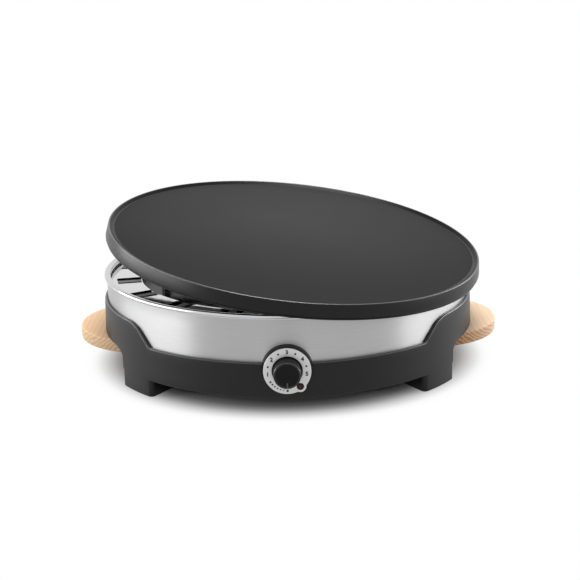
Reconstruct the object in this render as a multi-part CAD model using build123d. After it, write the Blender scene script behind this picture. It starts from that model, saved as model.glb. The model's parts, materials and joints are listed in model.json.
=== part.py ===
from build123d import *
import os
from math import cos, radians, sin, sqrt

# Electric crepe maker: a loose cast plate over a round base with two wooden paddle handles.
# Millimetres, +Z up. The origin is on the table, under the centre of the round base.
# The front, with the dial, faces -Y, and the handles reach out along X.

# ---- clearances ---------------------------------------------------------------------------
gap = 0.3               # between pieces that lie side by side
running = 0.05          # radial running fit of a turning or sliding stem
slip = 0.1              # radial play of a piece pushed into its hole

# ---- brushed trim band with its rolled rim: the base and the plate are built round it ---------
band_radius = 169.2
band_sheet = 0.8
rim_top = 88.0
bead_radius = 1.8
bead_offset = 0.5           # the bead's centre stands out from the band's outer face
bead_sides = 8              # flats of the rolled bead
rim_return_width = 3.2      # from the band's outer face in to the turned-down inner lip
rim_return_drop = 0.6       # the inner lip's top below the bead's top
rim_return_height = 3.9
rim_return_radius = band_radius - rim_return_width

# ---- cooking plate, heights counted down from the crest of its lip ---------------------------
skirt_play = 1.1            # between the rolled bead and the skirt around it
skirt_web = 0.6             # thickness of the skirt's lower lip at its crest
plate_flare = 1.8           # the side runs out by this much towards its lower edge
lip_width = 1.4
lip_height = 1.3            # the lip stands this far above the cooking surface
lip_slope = 2.0
plate_side_height = 11.4
skirt_step = 1.2            # the lower lip is set in by this much
skirt_lip_height = 2.4
seat_web = 3.7              # crest to the machined seat that rests on the rim
plate_web = 6.2             # crest to the underside of the thick middle
boss_margin = 22.6          # ring of thinner plate between the skirt and the thick middle
plate_boss_draft = 1.0
skirt_inner_radius = band_radius + bead_offset + bead_radius + skirt_play
plate_crest_radius = skirt_inner_radius + skirt_web
plate_radius = plate_crest_radius + plate_flare
plate_boss_radius = skirt_inner_radius - boss_margin

# ---- resting pose of the plate ----------------------------------------------------------------
plate_lean = 8.8            # degrees between the plate as it stands here and the seated plate
low_side_azimuth = -37.2    # direction in which the plate leans down
tilt_inset = 2.5            # the tilt axis lies this far inside the band
tilt_height = 40.1
seat_gap = 0.3              # left between the seated plate and the rim
tilt_reach = band_radius - tilt_inset

# ---- moulded housing ------------------------------------------------------------------------------
wall_foot = 4.3             # wall thickness at the lower edge
wall_crest = 2.7            # and at the top of the ears
housing_bottom = 16.8
housing_low_edge = 46.5     # top edge at the front and the back
housing_ear_top = 65.0      # top edge over the handles
ear_ramp_start = 119.7      # half width of the low front edge
ear_ramp_end = 134.0
ear_foot_round = 2.5
ear_top_round = 16.0
floor_bottom = 18.4
floor_thickness = 2.6
floor_inner_radius = 121.0
shelf_bottom = 40.0
shelf_top = 43.0
shelf_width = 19.5
shelf_gap_half = 33.0       # the shelf is open behind the dial
housing_wall_inner = band_radius + gap
housing_foot_radius = housing_wall_inner + wall_foot
housing_top_radius = housing_wall_inner + wall_crest
shelf_inner_radius = housing_wall_inner - shelf_width

# ---- feet -------------------------------------------------------------------------------------------
foot_azimuth = 39.5         # from the X axis
foot_outer_width = 47.0
foot_inner_width = 23.0
foot_depth = 36.0
foot_corner_round = 7.0
foot_wall = 3.0
foot_bottom = 1.5
pad_radius = 8.0
pad_recess = 2.0

# ---- recess under each handle, and the handles ---------------------------------------------------
arch_half_width = 92.0
arch_corner_width = 18.0    # the arch's upper corners are quarter ellipses
arch_corner_height = 8.6
recess_wall = 2.8
recess_depth = 36.8         # from the housing's lower edge in to the wall behind the fingers
handle_overhang = 23.7
handle_radius = 67.0
handle_top = 34.6
handle_thickness = 11.9
handle_round = 1.2
recess_depth_x = housing_foot_radius - recess_depth
handle_reach = housing_foot_radius + handle_overhang

# ---- dial ------------------------------------------------------------------------------------------------
dial_height = 40.9
bezel_radius = 21.1
bezel_proud = 1.8           # the bezel stands out of the housing by this much
bezel_depth = 15.6
dial_ring_radius = 19.9
dial_ring_thickness = 1.6
dial_ring_proud = 0.6
dial_opening_radius = 12.75
well_depth = 5.6
well_floor_thickness = 3.5
lamp_x = 10.6
lamp_drop = 13.4
lamp_radius = 3.0
lobe_radius = 5.0
lens_proud = 0.8
lens_length = 8.0
lamp_length = 14.0
knob_face_radius = 11.3
knob_base_radius = 12.2
knob_proud = 12.4           # knob's face in front of the bezel
knob_clear = 1.5            # knob's base above the floor of its well
knob_round = 1.0
pointer_length = 5.0
pointer_width = 1.3
pointer_depth = 0.6
shaft_radius = 3.0
shaft_cover = 6.0           # knob left in front of the shaft's end
bezel_front = housing_foot_radius + bezel_proud     # distances from the centre
bezel_back = bezel_front - bezel_depth
well_floor = bezel_front - well_depth
knob_face = bezel_front + knob_proud
knob_base = well_floor + knob_clear
shaft_front = knob_face - shaft_cover

# ---- thermostat ------------------------------------------------------------------------------------------
bracket_sheet = 1.5
bracket_half_width = 35.0
bracket_height = 17.0
boss_x = 30.0               # bosses on the front wall that carry the bracket
boss_radius = 4.0
bracket_centre = 31.0
thermostat_radius = 14.0
thermostat_depth = 18.0
thermostat_bush_radius = 5.0

# ---- reflector pan, heater and sensor ----------------------------------------------------------------
pan_sheet = 0.8
pan_margin = 2.2            # from the band's outer face in to the pan
pan_top = 81.8
pan_skirt = 5.3
pan_ring_width = 29.5
pan_step_run = 3.0
pan_floor = 71.0
pan_centre_hole = 11.0
window_count = 18
window_azimuth = 11.6       # of the first window
window_margin = 7.0         # pan's edge to the windows' outer ends
window_overrun = 1.5        # the windows run this far over the step
window_width = 20.0
window_bar = 7.0            # bar along the middle of each window
window_bar_drop = 0.6       # its top below the top of the pan
post_count = 3
post_azimuth = 1.6          # of the first post, between two windows
post_width = 18.0
post_sheet = 1.5
post_flange = 8.0
heater_tube = 3.25
heater_height = 81.4
heater_margin = 22.5        # pan's floor edge to the outer ring
heater_spacing = 36.0       # between the two rings
heater_sweep = 300.0
heater_start = 100.0
heater_leg_bend = 10.0
heater_leg_bottom = 58.0
support_count = 4
support_azimuth = 20.0
support_width = 9.0
support_reach = 9.0         # the supports run past the heater rings by this much
support_bar = 5.0
sensor_head_radius = 10.0
sensor_head_height = 3.0
sensor_stem_radius = 6.0
guide_flange_radius = 15.0
guide_flange = 1.5
guide_length = 12.0
spring_wire = 0.6           # half of the square wire's side
spring_seat = 0.1
spring_radius = 8.2
spring_turns = 3.5
pan_radius = band_radius - pan_margin
pan_step_radius = pan_radius - pan_ring_width
pan_floor_radius = pan_step_radius - pan_step_run
window_outer = pan_radius - window_margin
window_inner = pan_step_radius - window_overrun
post_radius = shelf_inner_radius + 1.0
heater_outer = pan_floor_radius - heater_margin
heater_inner = heater_outer - heater_spacing

# ---- underside -------------------------------------------------------------------------------------------
base_plate_lap = 9.0        # the bottom cover reaches this far over the housing's floor
base_plate_sheet = 1.2
vent_rows = 4
vents_per_row = 5
vent_margin = 32.0
vent_length = 36.0
vent_width = 4.5
vent_pitch = 9.0            # degrees
base_plate_radius = floor_inner_radius + base_plate_lap
vent_outer = base_plate_radius - vent_margin
vent_inner = vent_outer - vent_length

# ---- cord entry and wiring ------------------------------------------------------------------------------
gland_height = 30.5
gland_pad_proud = 1.7
gland_pad_radius = 11.0
gland_body_radius = 7.0
gland_flange_radius = 10.5
gland_flange = 3.5
gland_nose = 6.0
gland_nose_radius = 6.6
gland_bore = 3.6
gland_inner_reach = 17.5    # from the pad's face in to the inner end
gland_wall = 4.0            # thickening of the wall behind the gland
gland_nut_flats = 17.0
gland_nut_thickness = 4.5
block_length = 36.0
block_width = 18.0
block_height = 15.0
block_y = 92.0
stud_x = 40.0
stud_radius = 2.0
stud_height = 14.0
fuse_radius = 3.0
fuse_length = 22.0
fuse_y = -48.0
gland_pad_face = housing_foot_radius + gland_pad_proud
gland_inner_end = gland_pad_face - gland_inner_reach

# ---- worked out from the above ----------------------------------------------------------------------------
seated_crest = rim_top + seat_gap + seat_web
plate_underside = seated_crest - plate_web
floor_top = floor_bottom + floor_thickness
pan_under = pan_top - pan_sheet
tilt_u = Vector(cos(radians(low_side_azimuth)), sin(radians(low_side_azimuth)), 0)
tilt_axis = Axis(tilt_u * tilt_reach + Vector(0, 0, tilt_height), (-tilt_u.Y, tilt_u.X, 0))


def turned(*corners):
    """Solid of revolution about Z from (radius, height) corners."""
    return revolve(Plane.XZ * make_face(Polyline(*corners, corners[0])), Axis.Z)


def rod(radius, z_low, z_high, x=0.0, y=0.0):
    """Upright cylinder."""
    return Pos(x, y, (z_low + z_high) / 2) * Cylinder(radius, z_high - z_low)


def facing_front(sketch, y_front, y_back):
    """A sketch drawn as seen from the front, extruded from y_front back to y_back."""
    return extrude(Plane((0, y_front, 0), x_dir=(1, 0, 0), z_dir=(0, -1, 0)) * sketch, -(y_back - y_front))


def around(part, azimuths):
    """Copies of a part turned about Z."""
    return [Rot(0, 0, azimuth) * part for azimuth in azimuths]


def even(count, first=0.0):
    return [first + 360 / count * i for i in range(count)]


def cut(part, tools):
    for tool in tools:
        part -= tool
    return part


def wall_radius(z):
    share = (z - housing_bottom) / (housing_ear_top - housing_bottom)
    return housing_foot_radius + (housing_top_radius - housing_foot_radius) * share


# ---- plate ----------------------------------------------------------------------------------------------------
def cooking_plate():
    """Cast plate: raised lip, flared and stepped skirt, machined seat, thick middle."""
    crest_inner = plate_crest_radius - lip_width
    profile = Polyline(
        (0, -lip_height), (crest_inner - lip_slope, -lip_height), (crest_inner, 0),
        (plate_crest_radius, 0),
        (plate_radius, -plate_side_height), (plate_radius - skirt_step, -plate_side_height),
        (plate_radius - skirt_step, -plate_side_height - skirt_lip_height),
        (skirt_inner_radius, -plate_side_height - skirt_lip_height), (skirt_inner_radius, -seat_web),
        (plate_boss_radius, -seat_web), (plate_boss_radius - plate_boss_draft, -plate_web),
        (0, -plate_web), (0, -lip_height))
    plate = revolve(Plane.XZ * make_face(profile), Axis.Z)
    return (Pos(0, 0, seated_crest) * plate).rotate(tilt_axis, plate_lean)


# ---- band -----------------------------------------------------------------------------------------------------
def trim_band():
    """Band standing on the shelf, with a rolled bead and a turned-down lip on top."""
    bead_height = rim_top - bead_radius
    bead_centre = band_radius + bead_offset
    lip_top = rim_top - rim_return_drop
    wall = Pos(band_radius - band_sheet / 2, (shelf_top + bead_height) / 2) * Rectangle(
        band_sheet, bead_height - shelf_top)
    bead = Pos(bead_centre, bead_height) * RegularPolygon(
        bead_radius, bead_sides, major_radius=False, rotation=180 / bead_sides)
    ledge = Pos((rim_return_radius + bead_centre) / 2, lip_top - band_sheet / 2) * Rectangle(
        bead_centre - rim_return_radius, band_sheet)
    lip = Pos(rim_return_radius + band_sheet / 2, lip_top - rim_return_height / 2) * Rectangle(
        band_sheet, rim_return_height)
    band = revolve(Plane.XZ * (wall + bead + ledge + lip), Axis.Z)
    return band - facing_front(dial_outline(gap), -bezel_front - 5, -bezel_back + 5)


# ---- housing ----------------------------------------------------------------------------------------------------
def arch(grow):
    """Side view of the opening under a handle, with quarter-elliptical upper corners."""
    half, top = arch_half_width + grow, handle_top + grow
    wide, high = arch_corner_width + grow, arch_corner_height + grow
    left = EllipticalCenterArc((wide - half, top - high), wide, high, 90, arc_size=90)
    right = EllipticalCenterArc((half - wide, top - high), wide, high, 0, arc_size=90)
    return make_face([left, Line(left @ 0, right @ 1), right,
                      Polyline(right @ 0, (half, -1), (-half, -1), left @ 1)])


def ear_cut():
    """Front view of everything above the housing's wavy top edge."""
    far = housing_foot_radius + 10
    high = housing_ear_top + 10
    half = [(0, housing_low_edge), (ear_ramp_start, housing_low_edge), (ear_ramp_end, housing_ear_top),
            (far, housing_ear_top)]
    right = FilletPolyline(*half, radius=[ear_foot_round, ear_top_round])
    top = Polyline((far, housing_ear_top), (far, high), (0, high), (0, housing_low_edge))
    side = make_face([right, top])
    return side + mirror(side, Plane.YZ)


def foot_plan(inset):
    """Plan of one foot, its outer side on the housing's wall, about the +X axis."""
    outer = housing_foot_radius - inset
    deep = housing_foot_radius - foot_depth + inset
    wide, narrow = foot_outer_width / 2 - inset, foot_inner_width / 2 - inset
    wedge = make_face(Polyline((outer + 5, wide), (deep, narrow), (deep, -narrow), (outer + 5, -wide),
                               (outer + 5, wide)))
    plan = wedge & Circle(outer)
    return plan if inset else fillet(plan.vertices(), foot_corner_round)


def foot_azimuths():
    return [foot_azimuth, 180 - foot_azimuth, 180 + foot_azimuth, -foot_azimuth]


def pad_centre():
    return housing_foot_radius - foot_depth / 2 + 2


def housing():
    """Moulded shell: wavy wall, floor ring, band shelf, handle recesses and four hollow feet."""
    outer_top = wall_radius(housing_ear_top)
    shell = turned(
        (housing_foot_radius, housing_bottom), (outer_top, housing_ear_top),
        (housing_wall_inner, housing_ear_top), (housing_wall_inner, shelf_top),
        (shelf_inner_radius, shelf_top), (shelf_inner_radius, shelf_bottom),
        (housing_wall_inner, shelf_bottom), (housing_wall_inner, floor_top),
        (floor_inner_radius, floor_top), (floor_inner_radius, floor_bottom),
        (housing_wall_inner, floor_bottom), (housing_wall_inner, housing_bottom))
    shell -= front_shelf_cut()

    envelope = turned((0, housing_bottom), (housing_foot_radius, housing_bottom),
                      (outer_top, housing_ear_top), (0, housing_ear_top))
    block = Pos(recess_depth_x - recess_wall, 0, 0) * extrude(
        Plane.YZ * arch(recess_wall), housing_foot_radius)
    block &= envelope
    hollow = Pos(recess_depth_x, 0, 0) * extrude(Plane.YZ * arch(0), housing_foot_radius)
    for turn in (0, 180):
        shell += Rot(0, 0, turn) * block
        shell -= Rot(0, 0, turn) * hollow
    pocket_floor = foot_bottom + pad_recess + foot_wall
    inside_wall = (housing_wall_inner + housing_foot_radius) / 2
    foot_limit = turned((0, foot_bottom), (housing_foot_radius + 1, foot_bottom),
                        (housing_foot_radius + 1, housing_bottom), (inside_wall, housing_bottom),
                        (inside_wall, floor_bottom), (0, floor_bottom))
    for a in foot_azimuths():
        foot = extrude(Pos(0, 0, foot_bottom) * foot_plan(0), floor_bottom - foot_bottom) & foot_limit
        pocket = extrude(Pos(0, 0, pocket_floor) * foot_plan(foot_wall), floor_top + 1 - pocket_floor)
        shell += Rot(0, 0, a) * foot
        shell -= Rot(0, 0, a) * pocket - Rot(0, 0, 0 if cos(radians(a)) > 0 else 180) * block
    shell -= extrude(Plane.XZ * ear_cut(), 2 * housing_foot_radius, both=True)
    shell += bracket_bosses()
    shell += rear_pad()
    return cut(shell, housing_holes())


def front_shelf_cut():
    """Room behind the dial in the shelf that carries the band."""
    depth = 2 * shelf_width
    slab = Pos(0, -housing_wall_inner + depth / 2, (shelf_bottom + shelf_top) / 2) * Box(
        2 * shelf_gap_half, depth, shelf_top - shelf_bottom + 1)
    return slab & rod(housing_wall_inner, 0, 2 * shelf_top)


def bracket_bosses():
    """Two stand-offs on the inside of the front wall for the thermostat bracket."""
    bosses = Part()
    for x in (-boss_x, boss_x):
        wall_y = -sqrt(housing_wall_inner ** 2 - x ** 2)
        bosses += Pos(x, (wall_y - 1.5 - bezel_back) / 2, bracket_centre) * Rot(90, 0, 0) * Cylinder(
            boss_radius, -wall_y + 1.5 - bezel_back)
    return bosses


def rear_pad():
    """Flat-faced boss for the cord gland."""
    length = gland_pad_face - gland_inner_face()
    return Pos(0, gland_inner_face() + length / 2, gland_height) * Rot(90, 0, 0) * Cylinder(
        gland_pad_radius, length)


def gland_inner_face():
    return housing_wall_inner - gland_wall


def housing_holes():
    holes = [facing_front(dial_outline(gap), -bezel_front - 5, -bezel_back)]
    holes += around(rod(pad_radius + slip, foot_bottom - 1, foot_bottom + pad_recess, pad_centre()),
                    foot_azimuths())
    holes.append(Pos(0, housing_wall_inner, gland_height) * Rot(90, 0, 0) * Cylinder(
        gland_body_radius + slip, 2 * gland_inner_reach))
    return holes


# ---- handles ------------------------------------------------------------------------------------------------------
def handle(side):
    """Beech paddle: a disc segment whose inner edge lies against the recess wall."""
    board = extrude(Pos(handle_reach - handle_radius, 0, handle_top - handle_thickness)
                    * Circle(handle_radius), handle_thickness)
    board &= Pos(recess_depth_x + handle_radius, 0, handle_top) * Box(
        2 * handle_radius, 2 * handle_radius, 2 * handle_top)
    board = chamfer(board.edges().filter_by(GeomType.CIRCLE), handle_round)
    return board if side > 0 else Rot(0, 0, 180) * board


# ---- dial ---------------------------------------------------------------------------------------------------------
def dial_outline(grow):
    """Front view of the bezel: a disc with a lobe for the lamp."""
    lobe = Pos(lamp_x, dial_height - lamp_drop) * Circle(lobe_radius + bezel_radius - dial_ring_radius + grow)
    return Pos(0, dial_height) * Circle(bezel_radius + grow) + lobe


def ring_outline(grow):
    lobe = Pos(lamp_x, dial_height - lamp_drop) * Circle(lobe_radius + grow)
    return Pos(0, dial_height) * Circle(dial_ring_radius + grow) + lobe


def lamp_disc(radius):
    return Pos(lamp_x, dial_height - lamp_drop) * Circle(radius)


def dial_disc(radius):
    return Pos(0, dial_height) * Circle(radius)


def dial_bezel():
    """Black moulding: front recess for the ring, a well for the knob and a tube for the lamp."""
    ring_seat = bezel_front - dial_ring_thickness + dial_ring_proud
    bezel = facing_front(dial_outline(0), -bezel_front, -bezel_back)
    bezel -= facing_front(ring_outline(0.1), -bezel_front - 1, -ring_seat)
    bezel -= facing_front(dial_disc(dial_opening_radius), -bezel_front - 1, -well_floor)
    bezel -= facing_front(dial_disc(dial_opening_radius), -well_floor + well_floor_thickness, -bezel_back + 1)
    bezel -= facing_front(dial_disc(thermostat_bush_radius + slip), -bezel_front, -bezel_back)
    bezel -= facing_front(lamp_disc(lamp_radius + slip), -bezel_front - 1, -bezel_back + 1)
    return bezel


def dial_ring():
    """Bright scale ring with its lobe round the lamp."""
    front = bezel_front + dial_ring_proud
    face = ring_outline(0) - dial_disc(dial_opening_radius) - lamp_disc(lamp_radius + slip)
    ring = facing_front(face, -front, -front + dial_ring_thickness)
    return chamfer(ring.edges().group_by(Axis.Y)[0].sort_by(SortBy.LENGTH)[-1], 0.4)


def indicator_lens():
    front = bezel_front + dial_ring_proud + lens_proud
    lens = facing_front(lamp_disc(lamp_radius), -front, -front + lens_length)
    return chamfer(lens.edges().group_by(Axis.Y)[0], lens_proud)


def indicator_lamp():
    """Neon tube and its holder, behind the lens."""
    start = bezel_front + dial_ring_proud + lens_proud - lens_length
    return facing_front(lamp_disc(lamp_radius - 0.4), -start, -start + lamp_length)


def thermostat_knob():
    """Tapered knob with a rounded face, a pointer groove and a blind bore for the shaft."""
    loft_front = Plane((0, -knob_face, dial_height), x_dir=(1, 0, 0), z_dir=(0, -1, 0))
    loft_back = Plane((0, -knob_base, dial_height), x_dir=(1, 0, 0), z_dir=(0, -1, 0))
    knob = loft([loft_back * Circle(knob_base_radius), loft_front * Circle(knob_face_radius)])
    knob = chamfer(knob.edges().group_by(Axis.Y)[0], knob_round)
    knob -= Pos(0, -knob_face, dial_height - knob_face_radius + knob_round + pointer_length / 2) * Box(
        pointer_width, 2 * pointer_depth, pointer_length)
    return knob - facing_front(dial_disc(shaft_radius), -shaft_front, -knob_base + 1)


def thermostat_back():
    return bezel_back - bracket_sheet - thermostat_depth


def thermostat_shaft():
    return facing_front(dial_disc(shaft_radius), -shaft_front, -thermostat_back() - 4)


def thermostat_bracket():
    """Steel strip across the back of the bezel, bossed out behind the thermostat."""
    strip = Pos(0, bracket_centre) * Rectangle(2 * bracket_half_width, bracket_height)
    plate = strip + dial_disc(thermostat_radius + 3)
    plate -= dial_disc(thermostat_bush_radius + slip)
    plate -= lamp_disc(lamp_radius)
    return facing_front(plate, -bezel_back, -bezel_back + bracket_sheet)


def thermostat_body():
    """Capillary thermostat: a round can with a bush, in whose bore the shaft turns."""
    front = bezel_back - bracket_sheet
    can = facing_front(dial_disc(thermostat_radius), -front, -front + thermostat_depth)
    can = chamfer(can.edges().group_by(Axis.Y)[-1], 2)
    can += facing_front(dial_disc(thermostat_bush_radius), -well_floor + 0.5, -front)
    for x in (-6, 6):
        can += Pos(x, -thermostat_back() + 4, dial_height) * Box(1, 9, 6)
    return can - facing_front(dial_disc(shaft_radius + running), -well_floor - 1, -thermostat_back() - 3)


# ---- reflector, heater and sensor -------------------------------------------------------------------------
def post_azimuths():
    return even(post_count, post_azimuth)


def reflector_pan():
    """Pressed pan: ring with barred windows, stepped floor, skirt and centre hole."""
    t = pan_sheet
    pan = turned((pan_radius, pan_top - pan_skirt), (pan_radius, pan_top), (pan_step_radius, pan_top),
                 (pan_floor_radius, pan_floor), (pan_centre_hole, pan_floor), (pan_centre_hole, pan_floor - t),
                 (pan_floor_radius + t, pan_floor - t), (pan_step_radius + t, pan_top - t),
                 (pan_radius - t, pan_top - t), (pan_radius - t, pan_top - pan_skirt))
    low = pan_under - t / 2
    middle, length = (window_inner + window_outer) / 2, window_outer - window_inner
    window = Pos(middle, 0, low + t) * Box(length, window_width, 2 * t)
    bar_start, bar_end = pan_step_radius + t / 2, window_outer + t
    bar = Pos((bar_start + bar_end) / 2, 0, pan_top - window_bar_drop - t / 2) * Box(
        bar_end - bar_start, window_bar, t)
    azimuths = even(window_count, window_azimuth)
    pan = cut(pan, around(window, azimuths))
    for piece in around(bar, azimuths):
        pan += piece
    return cut(pan, [rod(heater_tube + 1.5, pan_floor - 5, pan_floor + 5, p.X, p.Y) for p in leg_points()])


def leg_points():
    """Plan position of the heater's two legs."""
    points = []
    for radius in (heater_outer, heater_inner):
        end = Vector(radius, 0, 0).rotate(Axis.Z, heater_start)
        back = Vector(0, -heater_leg_bend, 0).rotate(Axis.Z, heater_start)
        points.append(end + back)
    return points


def tube_section():
    """Section of the heater tube, flattened on top where it faces the plate."""
    return RegularPolygon(heater_tube, 6, major_radius=False)


def heater_ring(radius):
    ring = Plane.XZ * (Pos(radius, heater_height) * tube_section())
    return Rot(0, 0, heater_start) * revolve(ring, Axis.Z, heater_sweep)


def heating_element():
    """Sheathed tube bent into two rings joined by a hairpin, with two legs through the pan."""
    middle = (heater_outer + heater_inner) / 2
    hairpin = (heater_outer - heater_inner) / 2
    bend = revolve(Plane.XZ * (Pos(hairpin, 0) * tube_section()), Axis.Z, 180)
    element = heater_ring(heater_outer) + heater_ring(heater_inner)
    element += Rot(0, 0, heater_start + heater_sweep) * Pos(middle, 0, heater_height) * bend
    for radius in (heater_outer, heater_inner):
        knee = Pos(radius, 0, heater_height - heater_leg_bend) * revolve(
            Plane.XZ * (Pos(0, heater_leg_bend) * tube_section()), Axis.X, 90)
        leg = Pos(radius, -heater_leg_bend, heater_leg_bottom) * extrude(
            tube_section(), heater_height - heater_leg_bend - heater_leg_bottom)
        element += Rot(0, 0, heater_start) * knee + Rot(0, 0, heater_start) * leg
    return element


def element_supports():
    """Stamped cradles that carry both heater rings above the pan floor."""
    low, high = heater_inner - support_reach, heater_outer + support_reach
    bar_top = heater_height - 1
    side = Pos((low + high) / 2, bar_top - support_bar / 2) * Rectangle(high - low, support_bar)
    for radius in (low + support_bar / 2, high - support_bar / 2):
        side += Pos(radius, (pan_floor + bar_top) / 2) * Rectangle(support_bar, bar_top - pan_floor)
    cradle = extrude(Plane.XZ * side, support_width / 2, both=True)
    for radius in (heater_inner, heater_outer):
        cradle -= revolve(Plane.XZ * (Pos(radius, heater_height) * offset(tube_section(), running)), Axis.Z)
    return around(cradle, even(support_count, support_azimuth))


def pan_brackets():
    """C-shaped steel posts from the housing's shelf to the ring of the pan."""
    r = post_radius
    side = Pos(r + post_sheet / 2, (shelf_top + pan_under) / 2) * Rectangle(post_sheet, pan_under - shelf_top)
    for z in (shelf_top + post_sheet / 2, pan_under - post_sheet / 2):
        side += Pos(r + (post_sheet + post_flange) / 2, z) * Rectangle(post_sheet + post_flange, post_sheet)
    post = extrude(Plane.XZ * side, post_width / 2, both=True)
    return around(post, post_azimuths())


def sensor_guide():
    """Flanged bush in the middle of the pan."""
    bottom = pan_floor - guide_length
    return turned((sensor_stem_radius + running, bottom), (pan_centre_hole - gap, bottom),
                  (pan_centre_hole - gap, pan_floor), (guide_flange_radius, pan_floor),
                  (guide_flange_radius, pan_floor + guide_flange),
                  (sensor_stem_radius + running, pan_floor + guide_flange))


def sensor_plunger():
    """Probe that the plate presses down, with a collar that stops it in the guide."""
    top = plate_underside - gap
    neck = top - sensor_head_height
    collar = pan_floor - guide_length - gap
    return turned((0, top), (sensor_head_radius - 1, top), (sensor_head_radius, top - 1),
                  (sensor_head_radius, neck), (sensor_stem_radius, neck), (sensor_stem_radius, collar),
                  (sensor_stem_radius + 2, collar), (sensor_stem_radius + 2, collar - 2), (0, collar - 2))


def sensor_spring():
    """Compression spring between the guide and the probe's head."""
    low = pan_floor + guide_flange + spring_wire + spring_seat
    high = plate_underside - gap - sensor_head_height - spring_wire - spring_seat
    coil = Helix(pitch=(high - low) / spring_turns, height=high - low, radius=spring_radius)
    start = Plane(origin=coil @ 0, x_dir=(1, 0, 0), z_dir=coil % 0)
    return Pos(0, 0, low) * sweep(start * Rectangle(2 * spring_wire, 2 * spring_wire), path=coil)


# ---- underside and wiring ----------------------------------------------------------------------------------
def base_plate():
    """Steel bottom cover with four fans of vent slots."""
    plate = rod(base_plate_radius, floor_bottom - base_plate_sheet, floor_bottom)
    slot = Pos((vent_inner + vent_outer) / 2, 0, floor_bottom) * Box(
        vent_outer - vent_inner, vent_width, 4 * base_plate_sheet)
    spread = vent_pitch * (vents_per_row - 1) / 2
    for row in even(vent_rows, 45):
        plate = cut(plate, around(slot, [row - spread + vent_pitch * i for i in range(vents_per_row)]))
    return plate - rod(stud_radius, 0, 30, stud_x, block_y)


def foot_pads():
    pad = rod(pad_radius, 0, foot_bottom + pad_recess, pad_centre())
    return around(pad, foot_azimuths())


def cord_gland():
    """Screwed bush for the supply cord, its bore open to the inside."""
    face = gland_pad_face
    nose_start = face + gland_flange
    end = nose_start + gland_nose
    profile = Polyline(
        (gland_bore, gland_inner_end), (gland_body_radius, gland_inner_end), (gland_body_radius, face),
        (gland_flange_radius, face), (gland_flange_radius, nose_start), (gland_nose_radius + 1, nose_start),
        (gland_nose_radius, end), (gland_bore, end), (gland_bore, gland_inner_end))
    body = revolve(Plane.XZ * make_face(profile), Axis.Z)
    return Pos(0, 0, gland_height) * Rot(-90, 0, 0) * body


def gland_nut():
    face = gland_inner_face()
    hexagon = Pos(0, gland_height) * RegularPolygon(gland_nut_flats / 2, 6, major_radius=False)
    nut = Pos(0, face, 0) * extrude(Plane.XZ * hexagon, gland_nut_thickness)
    return nut - Pos(0, face, gland_height) * Rot(90, 0, 0) * Cylinder(
        gland_body_radius + running, 4 * gland_nut_thickness)


def terminal_block():
    """Three-pole ceramic block on the bottom cover."""
    low = floor_bottom
    block = Pos(0, block_y, low + block_height / 2) * Box(block_length, block_width, block_height)
    block = chamfer(block.edges().filter_by(Axis.Z), 1.5)
    for i in (-1, 0, 1):
        x = i * block_length / 3
        block -= Pos(x, block_y, low + block_height / 2) * Rot(90, 0, 0) * Cylinder(2.4, block_width + 2)
    return block


def earth_stud():
    """Stud and nut on the bottom cover."""
    low = floor_bottom - base_plate_sheet
    stud = rod(stud_radius, low, low + stud_height, stud_x, block_y)
    nut = Pos(stud_x, block_y, floor_bottom) * extrude(RegularPolygon(3.5, 6, major_radius=False), 3.2)
    return stud + nut


def thermal_fuse():
    """Safety cut-out held against the underside of the pan floor."""
    under = pan_floor - pan_sheet
    body = Pos(0, fuse_y, under - fuse_radius) * Rot(0, 90, 0) * Cylinder(fuse_radius, fuse_length)
    pad = Pos(0, fuse_y, under - fuse_radius / 2) * Box(fuse_length / 2, fuse_radius * 2, fuse_radius)
    return body + pad


nodes = {
    "cooking_plate": cooking_plate(),
    "trim_band": trim_band(),
    "housing": housing(),
    "left_handle": handle(-1),
    "right_handle": handle(1),
    "dial_bezel": dial_bezel(),
    "dial_ring": dial_ring(),
    "indicator_lens": indicator_lens(),
    "indicator_lamp": indicator_lamp(),
    "thermostat_knob": thermostat_knob(),
    "thermostat_shaft": thermostat_shaft(),
    "thermostat_bracket": thermostat_bracket(),
    "thermostat_body": thermostat_body(),
    "reflector_pan": reflector_pan(),
    "heating_element": heating_element(),
    "element_supports": element_supports(),
    "pan_brackets": pan_brackets(),
    "sensor_guide": sensor_guide(),
    "sensor_plunger": sensor_plunger(),
    "sensor_spring": sensor_spring(),
    "base_plate": base_plate(),
    "foot_pads": foot_pads(),
    "cord_gland": cord_gland(),
    "gland_nut": gland_nut(),
    "terminal_block": terminal_block(),
    "earth_stud": earth_stud(),
    "thermal_fuse": thermal_fuse(),
}

os.makedirs("parts", exist_ok=True)
for name, shape in nodes.items():
    solids = shape if isinstance(shape, list) else [shape]
    export_step(Compound([solid for piece in solids for solid in piece.solids()]), f"parts/{name}.step")
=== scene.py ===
# %% [markdown]
# # An electric crepe maker
#
# A loose cast plate leans on a round base. The base is a black moulded shell with a brushed
# band standing in it, two beech paddles at the sides and one dial at the front.
# The solids come from a CAD model, called the frame here. Each cell dresses or replaces one
# piece of it, and the finished piece rides on the CAD body that it belongs to.

# %% The frame
import json
from math import acos, asin, atan2, cos, degrees, hypot, pi, radians, sin, sqrt, tan
import bmesh
import bpy
from mathutils import Matrix, Vector


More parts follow.
